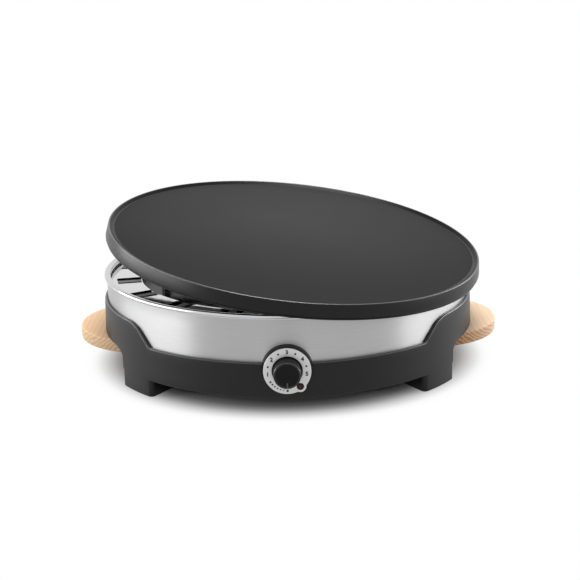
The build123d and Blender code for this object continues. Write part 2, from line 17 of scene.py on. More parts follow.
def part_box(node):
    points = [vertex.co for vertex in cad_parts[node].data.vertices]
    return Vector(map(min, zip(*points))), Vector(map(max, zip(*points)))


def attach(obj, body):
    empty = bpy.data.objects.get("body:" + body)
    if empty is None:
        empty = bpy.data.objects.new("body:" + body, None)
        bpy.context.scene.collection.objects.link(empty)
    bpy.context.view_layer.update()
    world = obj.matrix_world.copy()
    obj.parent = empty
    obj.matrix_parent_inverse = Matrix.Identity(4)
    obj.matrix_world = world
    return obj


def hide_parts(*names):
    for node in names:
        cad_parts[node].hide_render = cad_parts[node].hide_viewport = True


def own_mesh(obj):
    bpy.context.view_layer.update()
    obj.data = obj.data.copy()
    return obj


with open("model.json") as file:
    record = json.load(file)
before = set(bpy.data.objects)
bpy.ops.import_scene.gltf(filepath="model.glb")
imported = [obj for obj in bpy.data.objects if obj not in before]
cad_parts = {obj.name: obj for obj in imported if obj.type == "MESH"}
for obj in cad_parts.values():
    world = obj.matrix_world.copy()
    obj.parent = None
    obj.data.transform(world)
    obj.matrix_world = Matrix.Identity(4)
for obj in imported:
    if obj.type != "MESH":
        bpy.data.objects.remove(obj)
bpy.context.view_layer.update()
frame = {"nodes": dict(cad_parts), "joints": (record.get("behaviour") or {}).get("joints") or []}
MM = 0.001
joints = {joint["name"]: joint for joint in frame["joints"]}
print("nodes:", len(frame["nodes"]), "joints:", sorted(joints))

# %% [markdown]
# ## Camera
#
# A product shot is taken from a low height with a long lens, so that the ellipses stay calm.
# The appliance is turned a little to the camera's left, which is done here by walking the
# camera round it. Blender aims a camera along its own -Z, so its matrix is built from the
# direction to the right, the direction up and the direction back.

# %% Camera
def add_object(name, data):
    """Puts data into the scene as a new object."""
    made = bpy.data.objects.new(name, data)
    bpy.context.scene.collection.objects.link(made)
    return made


walk, tilt, roll = radians(0.4), radians(15.576), radians(-1.2388)
forward = Vector((0, cos(tilt), -sin(tilt)))
level = Vector((1, 0, 0))
upright = level.cross(forward)
right = cos(roll) * level + sin(roll) * upright
up = -sin(roll) * level + cos(roll) * upright
camera_data = bpy.data.cameras.new("camera")
camera_data.sensor_width = 36
camera_data.lens = 77.15
camera = add_object("camera", camera_data)
aim = Matrix((right, up, -forward)).transposed().to_4x4()
stand = Matrix.Translation(Vector((2.5, -1142.9, 379.8)) * MM)
camera.matrix_world = Matrix.Rotation(walk, 4, "Z") @ stand @ aim
bpy.context.scene.camera = camera
bpy.context.scene.view_settings.view_transform = "Standard"
print("camera at", [round(c, 3) for c in camera.matrix_world.translation])

# %% [markdown]
# ## Shapes that are turned
#
# Plate, band, knob and pan are all turned shapes: one section, spun round an axis. A section
# drawn with sharp corners catches no light on its edges, so each corner is given a small
# round first. The spin is then a grid of quads, which shades smoothly. All sizes are in
# millimetres until a mesh becomes an object.

# %% Angles, circles and round corners
def angles(start, step, count):
    """Angles in radians, from start on, step degrees apart."""
    return [radians(start + step * k) for k in range(count)]


def polar(radius, t):
    return radius * cos(t), radius * sin(t)


def circle(radius, count):
    """Points of a circle about the origin."""
    return [polar(radius, t) for t in angles(0, 360 / count, count)]


def round_corners(corners, steps=4):
    """corners are (a, b, radius), in order round a closed section; returns its (a, b) points."""
    points = []
    count = len(corners)
    for i, (a, b, radius) in enumerate(corners):
        if radius == 0:
            points.append((a, b))
            continue
        here = Vector((a, b))
        before = Vector(corners[i - 1][:2]) - here
        after = Vector(corners[(i + 1) % count][:2]) - here
        half = before.angle(after) / 2
        reach = min(radius / tan(half), before.length * 0.45, after.length * 0.45)
        radius = reach * tan(half)
        start, end = here + before.normalized() * reach, here + after.normalized() * reach
        inwards = (before.normalized() + after.normalized()).normalized()
        middle = here + inwards * radius / sin(half)
        for k in range(steps + 1):
            arm = (start - middle).slerp(end - middle, k / steps)
            points.append(tuple(middle + arm.normalized() * radius))
    return points


# %% From points to objects
def set_shading(bm, edge_angle):
    """Smooth everywhere, apart from edges that turn by more than edge_angle."""
    limit = radians(edge_angle)
    for edge in bm.edges:
        edge.smooth = len(edge.link_faces) == 2 and edge.calc_face_angle(0) < limit
    for face in bm.faces:
        face.smooth = True


def make_object(name, bm, edge_angle=35):
    """A bmesh in mm becomes an object in metres with outward faces."""
    bmesh.ops.remove_doubles(bm, verts=bm.verts, dist=0.0005)
    bmesh.ops.recalc_face_normals(bm, faces=bm.faces)
    set_shading(bm, edge_angle)
    mesh = bpy.data.meshes.new(name)
    bm.to_mesh(mesh)
    bm.free()
    mesh.transform(Matrix.Scale(MM, 4))
    return add_object(name, mesh)


def settle(piece, body, slot, *finishes):
    """Gives a finished mesh its materials and body; slot is not used."""
    for finish in finishes:
        piece.data.materials.append(finish.material)
    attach(piece, body)
    print(piece.name, len(piece.data.polygons), "faces")
    return piece


def share_out(piece, choose):
    """Gives each face the finish that choose numbers, from the centre in mm and the normal."""
    for face in piece.data.polygons:
        face.material_index = int(choose(face.center / MM, face.normal))


# %% Grids and spins
def grid(bm, rows, wrap_rows=True):
    """Quads between closed rows of points; each row has as many points as the next."""
    made = [[bm.verts.new(point) for point in row] for row in rows]
    columns = len(rows[0])
    for i in range(len(rows) if wrap_rows else len(rows) - 1):
        a, b = made[i], made[(i + 1) % len(rows)]
        for k in range(columns):
            j = (k + 1) % columns
            bm.faces.new((a[k], a[j], b[j], b[k]))
    return made


def capped(bm, rows):
    """A grid whose first and last rows are filled in."""
    made = grid(bm, rows, wrap_rows=False)
    bm.faces.new(made[0])
    bm.faces.new(made[-1])
    return bm


def spin(section, steps=256, start=0.0, sweep=360.0, bm=None):
    """A closed section of (radius, height) spun round Z; a part turn has its ends closed."""
    bm = bm or bmesh.new()
    full = sweep == 360.0
    rows = [[(*polar(max(r, 0.001), t), z) for r, z in section]
            for t in angles(start, sweep / steps, steps + (not full))]
    if full:
        grid(bm, rows)
    else:
        capped(bm, rows)
    return bm


# %% [markdown]
# ## Finishes
#
# A finish is a small node tree on Object coordinates, which for these pieces are metres in
# the appliance's own frame. One helper starts each tree; the cells after it add what the
# real surface shows: the grain of a casting, the fine lines of brushing, the growth rings of
# beech. Numbers that are the same all over go straight on the shader.

# %% Nodes
def connect(tree, node, **inputs):
    """Sets or links inputs, given by name with _ for a space, or by number as i0, i1 ..."""
    for key, value in inputs.items():
        socket = node.inputs[int(key[1:]) if key[1:].isdigit() else key.replace("_", " ")]
        if isinstance(value, bpy.types.Node):
            value = value.outputs[0]
        if isinstance(value, bpy.types.NodeSocket):
            tree.links.new(value, socket)
        else:
            socket.default_value = value
    return node


def add_node(tree, kind, settings=None, **inputs):
    """A new node, which as an input to another stands for its own first output."""
    node = tree.nodes.new(kind if "Node" in kind else "ShaderNode" + kind)
    for key, value in (settings or {}).items():
        setattr(node, key, value)
    return connect(tree, node, **inputs)


def calc(tree, operation, *values):
    """A Math node over numbers, nodes or sockets."""
    inputs = {f"i{k}": value for k, value in enumerate(values)}
    return add_node(tree, "Math", {"operation": operation}, **inputs)


def ramp(tree, factor, *stops):
    """A colour ramp through (position, colour or grey) stops."""
    node = add_node(tree, "ValToRGB", Fac=factor)
    elements = node.color_ramp.elements
    while len(elements) < len(stops):
        elements.new(0.5)
    for element, (position, colour) in zip(elements, stops):
        element.position = position
        element.color = (*colour, 1) if hasattr(colour, "__len__") else (*[colour] * 3, 1)
    return node


# %% Start of a finish
class Finish:
    """A material under construction, with its shader and object coordinates to hand."""

    def __init__(self, name, colour, roughness, metallic=0.0, **more):
        self.material = bpy.data.materials.new(name)
        self.material.use_nodes = True
        self.tree = self.material.node_tree
        self.shader = self.tree.nodes["Principled BSDF"]
        self.place = self.add("TexCoord").outputs["Object"]
        self.shade(Base_Color=(*colour, 1), Roughness=roughness, Metallic=metallic, **more)

    def add(self, kind, settings=None, **inputs):
        return add_node(self.tree, kind, settings, **inputs)

    def shade(self, **inputs):
        """Sets or links the shader's own sockets."""
        connect(self.tree, self.shader, **inputs)
        return self

    def calc(self, operation, *values):
        return calc(self.tree, operation, *values)

    def ramp(self, factor, *stops):
        return ramp(self.tree, factor, *stops)

    def stretched(self, scale, rotation=(0, 0, 0)):
        return self.add("Mapping", Vector=self.place, Scale=scale, Rotation=rotation)

    def noise(self, scale, detail=3.0, vector=None, roughness=0.5):
        return self.add("TexNoise", Vector=vector or self.place, Scale=scale, Detail=detail,
                        Roughness=roughness)

    def distance(self, point, factor):
        """How far the surface lies from a point in metres, times a factor."""
        far = self.add("VectorMath", {"operation": "DISTANCE"}, i0=self.place, i1=point)
        return self.calc("MULTIPLY", far.outputs["Value"], factor)

    def mix(self, blend, factor, first, second):
        return self.add("Mix", {"data_type": "RGBA", "blend_type": blend},
                        Factor=factor, i6=first, i7=second).outputs[2]

    def colour(self, output):
        return self.shade(Base_Color=output)

    def rough(self, factor, low, high):
        return self.shade(Roughness=self.add("MapRange", Value=factor, To_Min=low, To_Max=high))

    def bump(self, height, depth):
        """depth is the real height of the relief in metres."""
        return self.shade(Normal=self.add("Bump", Height=height, Distance=depth, Strength=1.0))


def even_finish(name, colour, gloss, metallic=0.0, relief=None, **more):
    """One colour with gloss (scale, detail, low, high) and relief (scale, detail, depth)."""
    finish = Finish(name, colour, gloss[2], metallic, **more)
    finish.rough(finish.noise(*gloss[:2]), *gloss[2:])
    return finish.bump(finish.noise(*relief[:2]), relief[2]) if relief else finish


# %% [markdown]
# ### The cast plate's coating
#
# The plate is cast metal under a dark non-stick coat. The coat is matt with a very fine
# grain, and faint broad clouds where it was baked. Noise at two sizes gives both, and the
# fine one also roughens the surface through a bump a few hundredths of a millimetre deep.
# The side is a little smoother. The slope inside the lip is painted darker, a painted shade,
# and the crest of the lip is smoother and painted lighter, a painted highlight. All of the coat
# is also painted darker away from a point over the middle of the plate, a painted shade.

# %% Coating
def dark_coating(name, tone, roughness, level, depth):
    """Coat of one tone, clouded, with painted shade that darkens it away from the middle of the
    plate.
    """
    coat = Finish(name, (tone, tone, tone * 1.02), roughness, Specular_IOR_Level=level)
    clouds = coat.noise(9, 4)
    low, high = tone * 0.88, tone * 1.12
    cloudy = coat.ramp(clouds, (0.3, (low, low, low * 1.02)), (0.7, (high, high, high * 1.02)))
    # Painted shade: the coat is darker the farther it lies from a point over the middle of the
    # plate.
    painted_shade_ramp = coat.ramp(coat.distance((0.0, 0.05, 0.1), 4.0), (0.0, 1.0), (0.75, 0.45))
    coat.colour(coat.mix("MULTIPLY", 1.0, cloudy, painted_shade_ramp))
    coat.rough(clouds, roughness - 0.05, roughness + 0.06)
    return coat.bump(coat.noise(2600, 2), depth)


coating = dark_coating("dark_coating", 0.033, 0.6, 0.06, 0.00003)
side_coating = dark_coating("side_coating", 0.008, 0.34, 0.24, 0.000015)
# The slope inside the lip gets a painted shade in its darker tone, and the crest a painted
# highlight in its lighter tone, besides its smoother gloss.
lip_painted_shade = dark_coating("lip_painted_shade", 0.004, 0.3, 0.08, 0.00001)
crest_painted_highlight = dark_coating("crest_painted_highlight", 0.05, 0.2, 1.0, 0.00001)

# %% [markdown]
# ### Brushed steel
#
# The band was brushed along its length, so its scratches run round the base. The noise is
# read on coordinates that follow the wall, squeezed hard in height and hardly at all along
# the arc, which draws it out into long level lines. The same brushing smears each highlight
# upright, which is what the anisotropy and its tangent round Z are for.

# %% Brushed steel
WALL_RADIUS, BAND_TONE = 0.17, 0.41
band_steel = Finish("brushed_band", (BAND_TONE,) * 3, 0.38, 1.0,
                    Anisotropic=0.8, Anisotropic_Rotation=0.25)
split = band_steel.add("SeparateXYZ", Vector=band_steel.place).outputs
turned = band_steel.calc("ARCTAN2", split["Y"], split["X"])
wall_place = band_steel.add(
    "CombineXYZ", X=band_steel.calc("MULTIPLY", turned, WALL_RADIUS * 40),
    Z=band_steel.calc("MULTIPLY", split["Z"], 5200))
lines = band_steel.noise(1.0, 4, wall_place, 0.65)
low, high = BAND_TONE * 0.93, BAND_TONE * 1.07
band_steel.colour(band_steel.ramp(lines, (0.35, (low, low, low * 1.005)), (0.65, high)))
band_steel.rough(lines, 0.32, 0.44).bump(lines, 0.000012)
band_steel.shade(Tangent=band_steel.add("Tangent", {"direction_type": "RADIAL", "axis": "Z"}))

# %% Bright, stained and shaded, and dull steel
rim_steel = even_finish("polished_rim", (0.58, 0.58, 0.59), (40, 3, 0.15, 0.24), 1.0)
pan_steel = even_finish("bright_pan", (0.62, 0.62, 0.63), (60, 3, 0.05, 0.12), 1.0, (60, 3, 0.0001))
# Heat stain and painted shade: the sheet inside the step is near-black, darker than a stain alone,
# for the shade under the plate.
stain_and_shade_steel = Finish("heat_stain_and_painted_shade", (0.035, 0.032, 0.029), 0.35, 1.0)
stain = stain_and_shade_steel.noise(14, 4)
stain_and_shade_steel.colour(stain_and_shade_steel.ramp(stain, (0.3, (0.022, 0.02, 0.018)),
                                        (0.7, (0.05, 0.046, 0.042)))).rough(stain, 0.26, 0.42)
bar_steel = even_finish("dull_bar", (0.2, 0.2, 0.205), (200, 3, 0.34, 0.5), 1.0)
probe_steel = even_finish("probe_steel", (0.6, 0.6, 0.6), (300, 3, 0.2, 0.34), 1.0)
print("steel finishes ready")

# %% [markdown]
# ### Black mouldings, rubber and small metals
#
# The shell is moulded with a satin texture, so it needs a fine pebble in its bump. Bezel and
# gland are left glossier. The top edge of the shell and the rounded edge of the knob are
# glossier and lighter in colour, a painted highlight. Zinc shows its flat crystals as cells of
# slightly different tone.

# %% Mouldings
shell_black = even_finish("satin_black", (0.008, 0.008, 0.0083), (30, 3, 0.38, 0.46),
                          relief=(1500, 2, 0.00004), Specular_IOR_Level=0.24)
# Painted highlight: the edge finish is lighter in colour than the satin black, besides its stronger
# gloss.
shell_edge_painted_highlight = even_finish("polished_edge_painted_highlight", (0.03,) * 3, (60, 3, 0.26, 0.34),
                         Specular_IOR_Level=0.8)
gloss_black = even_finish("gloss_black", (0.006, 0.006, 0.0065), (220, 3, 0.12, 0.2),
                          Specular_IOR_Level=0.2)
knob_black = even_finish("knob_black", (0.007, 0.007, 0.0075), (90, 3, 0.4, 0.5),
                         relief=(2200, 2, 0.00002), Specular_IOR_Level=0.12)
# Painted highlight: the knob's rounded edge is much lighter in colour than its face, besides its
# gloss.
knob_edge_painted_highlight = even_finish("knob_edge_painted_highlight", (0.07,) * 3, (60, 3, 0.16, 0.24), Specular_IOR_Level=1.0)
pointer_grey = even_finish("pointer_grey", (0.13,) * 3, (90, 3, 0.45, 0.55))
rubber = even_finish("foot_rubber", (0.02,) * 3, (120, 3, 0.7, 0.9), relief=(900, 3, 0.0001))

# %% Small metals and ceramic
zinc_steel = Finish("zinc_steel", (0.5,) * 3, 0.4, 1.0)
cells = zinc_steel.add("TexVoronoi", Vector=zinc_steel.place, Scale=160.0)
crystal = zinc_steel.add("RGBToBW", Color=cells.outputs["Color"])
zinc_steel.colour(zinc_steel.ramp(crystal, (0.2, 0.43), (0.8, 0.55))).rough(crystal, 0.32, 0.48)
brass = even_finish("plain_brass", (0.6, 0.42, 0.17), (300, 3, 0.24, 0.4), 1.0)
ceramic = Finish("cream_ceramic", (0.68, 0.65, 0.57), 0.35)
ceramic.colour(ceramic.ramp(ceramic.noise(140), (0.3, (0.62, 0.59, 0.5)),
                            (0.7, (0.72, 0.69, 0.61)))).bump(ceramic.noise(500), 0.00005)
sheath = Finish("heated_sheath", (0.1, 0.09, 0.085), 0.5, 1.0)
scorch = sheath.noise(45, 5)
sheath.colour(sheath.ramp(scorch, (0.3, (0.07, 0.062, 0.058)), (0.55, (0.13, 0.115, 0.1)),
                          (0.8, (0.18, 0.15, 0.12))))
sheath.rough(scorch, 0.38, 0.62).bump(sheath.noise(700), 0.00004)

# %% Ring, print, lens and lamp
satin_silver = even_finish("satin_silver", (0.7,) * 3, (700, 2, 0.34, 0.46), 0.45,
                           (1800, 2, 0.00003))
print_black = even_finish("print_black", (0.004, 0.004, 0.0045), (900, 3, 0.42, 0.58),
                          Specular_IOR_Level=0.15)
lens_red = Finish("lens_red", (0.08, 0.004, 0.012), 0.12, Specular_IOR_Level=0.2)
# Painted glow and shade: the red is lighter round the middle of the dome and near-black towards its
# rim.
lens_red.colour(lens_red.ramp(lens_red.distance((0.0106, -0.177, 0.0275), 200.0),
                              (0.2, (0.12, 0.006, 0.02)), (0.42, (0.006, 0.002, 0.003))))
lamp_glass = even_finish("lamp_glass", (0.5, 0.3, 0.2), (400, 3, 0.08, 0.2))
print("black, small and dial finishes ready")

# %% [markdown]
# ### Beech
#
# A plank is cut from a stack of growth rings. Wave bands through the whole volume give that
# stack: on the top they show as faint lines along the board, and on the edge as slanted
# stripes. End grain drinks more oil and looks browner, so the colour also follows how far
# the surface faces along the grain. Short dark flecks are beech's own mark. The two boards
# get colours of their own, and the difference is painted shade: the left board is darker on
# its faces, the right one much darker on its end grain.

# %% Beech
def beech(name, lean, dark_face, light_face, dark_ring, light_ring):
    wood = Finish(name, (0.76, 0.56, 0.4), 0.5, Specular_IOR_Level=0.25)
    rings = wood.add("TexWave", {"wave_type": "BANDS", "bands_direction": "X"},
                     Vector=wood.stretched((1, 0.06, 1), (0, lean, 0)), Scale=104.0,
                     Distortion=7.0, Detail=3.0).outputs["Fac"]
    fine = wood.noise(1.0, 3, wood.stretched((900, 40, 900)))
    flecks = wood.noise(1.0, 1, wood.stretched((1100, 160, 1100)))
    normal = wood.add("NewGeometry").outputs["Normal"]
    along_grain = wood.add("SeparateXYZ", Vector=normal).outputs["Y"]
    face = wood.ramp(rings, (0.0, dark_face), (1.0, light_face))
    end = wood.ramp(rings, (0.1, dark_ring), (0.8, light_ring))
    board_colour = wood.mix("MIX", wood.calc("ABSOLUTE", along_grain), face, end)
    fleck = wood.ramp(flecks, (0.62, 1.0), (0.72, (0.86, 0.8, 0.74)))
    wood.colour(wood.mix("MULTIPLY", 0.8, board_colour, fleck))
    return wood.rough(fine, 0.42, 0.6).bump(fine, 0.00004)


# Painted shade: the left board's faces and the right board's end grain are given darker colours
# than the other board's.
beech_left_painted_shade = beech("beech_left_painted_shade", -0.9, (0.71, 0.455, 0.265), (0.75, 0.5, 0.3),
                   (0.46, 0.3, 0.155), (0.61, 0.45, 0.28))
beech_right_painted_shade = beech("beech_right_painted_shade", 0.9, (0.74, 0.53, 0.35), (0.78, 0.58, 0.4),
                    (0.26, 0.11, 0.04), (0.5, 0.29, 0.135))

# %% [markdown]
# ## Cooking plate
#
# The plate is one casting: a thin raised lip, a flat surface a little lower, a flared side
# with a step near its foot, and a machined seat below. Its section is drawn seated, spun,
# and then tipped about the frame's own tilt joint, so that it lands where the solid is. To
# give each face its finish, the tipping is undone for its centre.

# %% Cooking plate
GAP_TO_RIM, SKIRT_DEPTH = 0.3, 3.7
SIDE_FROM, LIP_FROM, CREST_FROM, LIP_FOOT = 167.3, 168.7, 171.3, 2.45
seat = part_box("trim_band")[1].z / MM + GAP_TO_RIM + SKIRT_DEPTH
plate_section = round_corners([
    (0, -2.1, 0), (167.4, -2.1, 0.3), (167.9, -2.5, 0.3), (168.8, -2.5, 0.4), (172, -0.1, 0.7),
    (173.2, 0, 0.7), (175, -11.3, 0.6), (173.3, -11.7, 0.3), (173.3, -12.3, 0.2),
    (173.8, -12.5, 0.2), (173.8, -13.8, 0.3), (172.6, -13.8, 0.3), (172.6, -SKIRT_DEPTH, 0.6),
    (150, -SKIRT_DEPTH, 0.8), (149, -6.2, 0.6), (0, -6.2, 0)])
plate_bm = spin([(r, seat + z) for r, z in plate_section], 360)
hinge = joints["plate_tilt"]
pivot = Matrix.Translation(Vector(hinge["pos_m"]) / MM)
lean = Matrix.Rotation(radians(-hinge["range_deg"][0]), 4, Vector(hinge["axis"]))
tipped = pivot @ lean @ pivot.inverted()
plate_bm.transform(tipped)
plate = settle(make_object("plate_casting", plate_bm), "plate", "plate_metal",
               coating, side_coating, lip_painted_shade, crest_painted_highlight)


def plate_finish(centre, normal):
    """1 for the side, 2 for the painted shade on the slope inside the lip, 3 for the painted
    highlight on its crest and 0 for the rest.
    """
    centre = tipped.inverted() @ centre
    out, drop = hypot(centre.x, centre.y), seat - centre.z
    if out > LIP_FROM and drop < LIP_FOOT and normal.z > 0.3:
        return 3 if out > CREST_FROM else 2
    return out > SIDE_FROM


share_out(plate, plate_finish)
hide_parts("cooking_plate")
print("plate crest when seated:", round(seat, 1), "mm")

# %% [markdown]
# ## Band
#
# A strip of steel stands in the shell. Its top is rolled outwards into a bead, and a narrow
# lip turns down on the inside. Band and rim are two finishes on one turned mesh, because
# polishing reaches the bead and not the wall. The dial's housing passes through a round
# notch in its lower edge, which a boolean with a plug of the same outline cuts.

# %% Cutting
def baked(piece):
    """The piece's mesh with its modifiers applied."""
    bpy.context.view_layer.update()
    depsgraph = bpy.context.evaluated_depsgraph_get()
    return bpy.data.meshes.new_from_object(piece.evaluated_get(depsgraph))


def carve(piece, tool, edge_angle=35):
    """Cuts the tool out of the piece for good, then removes the tool."""
    modifier = piece.modifiers.new("carve", "BOOLEAN")
    modifier.operation = "DIFFERENCE"
    modifier.solver = "EXACT"
    modifier.object = tool
    cut = baked(piece)
    piece.modifiers.remove(modifier)
    bm = bmesh.new()
    bm.from_mesh(cut)
    set_shading(bm, edge_angle)
    bm.to_mesh(cut)
    bm.free()
    piece.data = cut
    bpy.data.objects.remove(tool)


# %% Outline of the dial
DIAL_HEIGHT, LAMP_X, LAMP_DROP, DIAL_STEPS = 40.9, 10.6, 13.4, 180


def dial_outline(radius, lobe):
    """A circle with a lobe for the lamp, as (x, y) about the dial's centre, seen from the front."""
    reach, where = hypot(LAMP_X, LAMP_DROP), atan2(-LAMP_DROP, LAMP_X)
    points = []
    for t in angles(0, 360 / DIAL_STEPS, DIAL_STEPS):
        off = t - where
        inside = lobe * lobe - (reach * sin(off)) ** 2
        far = reach * cos(off) + sqrt(inside) if inside > 0 and cos(off) > 0 else 0
        points.append(polar(max(radius, far), t))
    return points


def on_front(outline, distance):
    """Points seen from the front, put at a distance in front of the centre."""
    return [(x, -distance, DIAL_HEIGHT + y) for x, y in outline]


def dial_plug(inner_end):
    """A plug of the dial's outer outline, for the room that it needs."""
    return capped(bmesh.new(), [on_front(dial_outline(21.4, 6.5), d) for d in (190, inner_end)])


# %% Band
BAND_IN, BAND_OUT, BEAD_FROM = 168.4, 169.2, 83.4
bead = [(169.7 + 1.8 * cos(t), 86.2 + 1.8 * sin(t)) for t in angles(-100, 14.5, 14)]
band_section = bead + [
    (168, 87.4), (167, 87.4), (166.2, 87.1), (166, 86.4), (166, 83.5), (166.8, 83.5),
    (166.8, 86.2), (167.2, 86.6), (BAND_IN, 86.4), (BAND_IN, 43), (BAND_OUT, 43),
    (BAND_OUT, 60), (BAND_OUT, 75), (BAND_OUT, 83.6)]
band = make_object("band_and_rim", spin(band_section, 360), 50)
carve(band, make_object("notch", dial_plug(150)), 50)
settle(band, "base", "band_steel", band_steel, rim_steel)
share_out(band, lambda centre, normal: centre.z > BEAD_FROM)
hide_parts("trim_band")

# %% [markdown]
# ## Shell
#
# The shell is one injection moulding. Its wall leans in a little towards the top, so that it
# leaves its mould. The top edge dips at the front and the back and climbs to an ear over
# each handle. The bottom edge is lifted into an arch under each handle. A boolean would
# leave knife edges there, so the wall is made as a ribbon: at each turn round the base a
# section with two rounded ends is drawn between the lower and the upper edge.

# %% Edges of the wall
WALL_LOW, WALL_HIGH, WALL_INSIDE, WALL_FOOT, WALL_LEAN = 16.8, 65.0, 169.5, 173.8, 1.6
ARCH_TOP, ARCH_END = 34.6, 92.4


def wall_radius(z):
    return WALL_FOOT - WALL_LEAN * (z - WALL_LOW) / (WALL_HIGH - WALL_LOW)


def height_at(path, a):
    """Height of a path at a, read between its points."""
    for (a0, b0), (a1, b1) in zip(path, path[1:]):
        if a <= a1:
            return b0 + (b1 - b0) * (a - a0) / max(a1 - a0, 1e-6)
    return path[-1][1]


ear_edge = round_corners(
    [(0, 46.5, 0), (119.7, 46.5, 2.5), (134, WALL_HIGH, 16), (180, WALL_HIGH, 0)], 10)
arch_edge = [(0, ARCH_TOP)] + [(74 + 18 * sin(t), 26 + 8.6 * cos(t))
                               for t in angles(0, 7.5, 13)] + [(ARCH_END, WALL_LOW)]


# %% Columns of the wall
def quarter_columns():
    """(turn, low edge, high edge) from the middle of a handle round to the front or the back."""
    along_y, along_x = 173.6, 172.6
    turns = {round(degrees(asin(y / along_y)), 3) for y, _ in arch_edge}
    turns |= {round(degrees(acos(x / along_x)), 3) for x, _ in ear_edge if x < 172}
    turns |= {0.75 * k for k in range(121)}
    columns = []
    for turn in sorted(turns):
        y, x = along_y * sin(radians(turn)), along_x * cos(radians(turn))
        low = height_at(arch_edge, y) if y < ARCH_END else WALL_LOW
        columns.append((turn, low, height_at(ear_edge, x)))
    return [c for i, c in enumerate(columns) if i == 0 or c[0] - columns[i - 1][0] > 0.02]


def stretch(columns, i, which):
    """How much longer than level the edge is at a column, so that its round stays round."""
    a, b = columns[max(i - 1, 0)], columns[min(i + 1, len(columns) - 1)]
    run = radians(b[0] - a[0]) * 172
    return hypot(1, min(abs(b[which] - a[which]) / run, 2.0))


def eased(side, end, size, rise, steps, from_end=False):
    """A quarter round between a side's radius and an end's height, as (radius, height)."""
    run = [(1 - cos(t), 1 - sin(t)) for t in angles(0, 90 / steps, steps + 1)]
    return [(side + size * (b if from_end else a), end + rise * (a if from_end else b))
            for a, b in run]


def wall_section(low, high, low_stretch, high_stretch):
    """Section of the wall between its two edges, as (radius, height)."""
    crown, inside, foot = 1.3, 0.8, 1.0
    section = eased(wall_radius(high), high, -crown, -crown * high_stretch, 4)
    section += eased(WALL_INSIDE, high, inside, -inside * high_stretch, 3, True)
    section += eased(WALL_INSIDE, low, inside, inside * low_stretch, 3)
    section += eased(wall_radius(low), low, -foot, foot * low_stretch, 3, True)
    middle = [low + (high - low) * s for s in (0.2, 0.4, 0.6, 0.8)]
    return section + [(wall_radius(z), z) for z in middle]


# %% Wall
EAR_FROM = 44
quarter = quarter_columns()
quarter = [(*column, stretch(quarter, i, 1), stretch(quarter, i, 2))
           for i, column in enumerate(quarter)]
whole = quarter + [(180 - c[0], *c[1:]) for c in reversed(quarter[:-1])]
whole += [(180 + c[0], *c[1:]) for c in quarter[1:]]
whole += [(360 - c[0], *c[1:]) for c in reversed(quarter[1:-1])]
wall_bm = bmesh.new()
grid(wall_bm, [[(*polar(r, radians(turn)), z) for r, z in wall_section(*edges)]
               for turn, *edges in whole])
wall = make_object("shell_wall", wall_bm, 32)
carve(wall, make_object("dial_room", dial_plug(158)), 32)
settle(wall, "base", "shell_black", shell_black, shell_edge_painted_highlight)
# The top faces of the shell's upper edge take the painted highlight.
share_out(wall, lambda centre, normal: normal.z > 0.4 and centre.z > EAR_FROM)
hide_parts("housing")

# %% [markdown]
# ### Recess, floor, shelf and feet
#
# Behind and over each handle a wall closes the shell, shaped as a tunnel. It is the arch of
# the lower edge, given a thickness and drawn inwards. The foot is a wedge with round
# corners, whose lower edge is rounded by drawing its outline in a little, layer by layer.

# %% Recess
RECESS_DEPTH, RECESS_MOUTH, RECESS_WALL, RECESS_SIDE = 134.3, 171.2, 2.8, 94.8
shell_bm = bmesh.new()
tunnel = [(-y, z) for y, z in arch_edge[::-1]] + [(y, z) for y, z in arch_edge[1:]]
thick = [(y * RECESS_SIDE / ARCH_END, z + RECESS_WALL if z > WALL_LOW else z)
         for y, z in tunnel]
for side in (-1, 1):
    strip = []
    for (y0, z0), (y1, z1) in zip(tunnel, thick):
        deep, mouth = side * RECESS_DEPTH, side * sqrt(RECESS_MOUTH ** 2 - y0 ** 2)
        strip.append([(deep, y0, z0), (mouth, y0, z0), (mouth, y1, z1), (deep, y1, z1)])
    capped(shell_bm, strip)
    capped(shell_bm, [[(side * x, y, z) for y, z in thick] for x in (134.2, 137)])

# %% Floor and shelf
def ring_section(inner, outer, low, high):
    return [(inner, low), (outer, low), (outer, high), (inner, high)]


FLOOR_HOLE, FLOOR_LOW, FLOOR_HIGH, RECESS_BACK, RECESS_TURN = 121, 18.4, 21, 136, 33.9
floor_rows = []
for t in angles(0, 1, 360):
    reach = WALL_INSIDE + 0.4
    if abs(sin(t)) < sin(radians(RECESS_TURN)):
        reach = RECESS_BACK / abs(cos(t))
    floor_rows.append([(*polar(r, t), z)
                       for r, z in ring_section(FLOOR_HOLE, reach, FLOOR_LOW, FLOOR_HIGH)])
grid(shell_bm, floor_rows)
shelf_start, shelf_sweep = -78.5, 337  # leaves room for the dial
spin(ring_section(150, 170, 40, 43), 200, shelf_start, shelf_sweep, shell_bm)


# %% Feet
def offset_outline(points, distance):
    """Moves each point of a closed outline inwards, along both its neighbours' sides."""
    count = len(points)
    turned = sum(points[i - 1][0] * points[i][1] - points[i][0] * points[i - 1][1]
                 for i in range(count))
    side = distance if turned > 0 else -distance
    moved = []
    for i, (x, y) in enumerate(points):
        before, here, after = Vector(points[i - 1]), Vector((x, y)), Vector(points[(i + 1) % count])
        a, b = (here - before).normalized(), (after - here).normalized()
        normal = Vector((-(a.y + b.y), a.x + b.x)).normalized()
        miter = side / max(sqrt((1 + a.dot(b)) / 2), 0.5)
        moved.append((x + normal.x * miter, y + normal.y * miter))
    return moved


def slab(bm, outline, layers, turn=0.0):
    """Layers of (inset, height) over one outline, closed at both ends and turned round Z."""
    c, s = cos(radians(turn)), sin(radians(turn))
    return capped(bm, [
        [(c * x - s * y, s * x + c * y, z)
         for x, y in (offset_outline(outline, inset) if inset else outline)]
        for inset, z in layers])


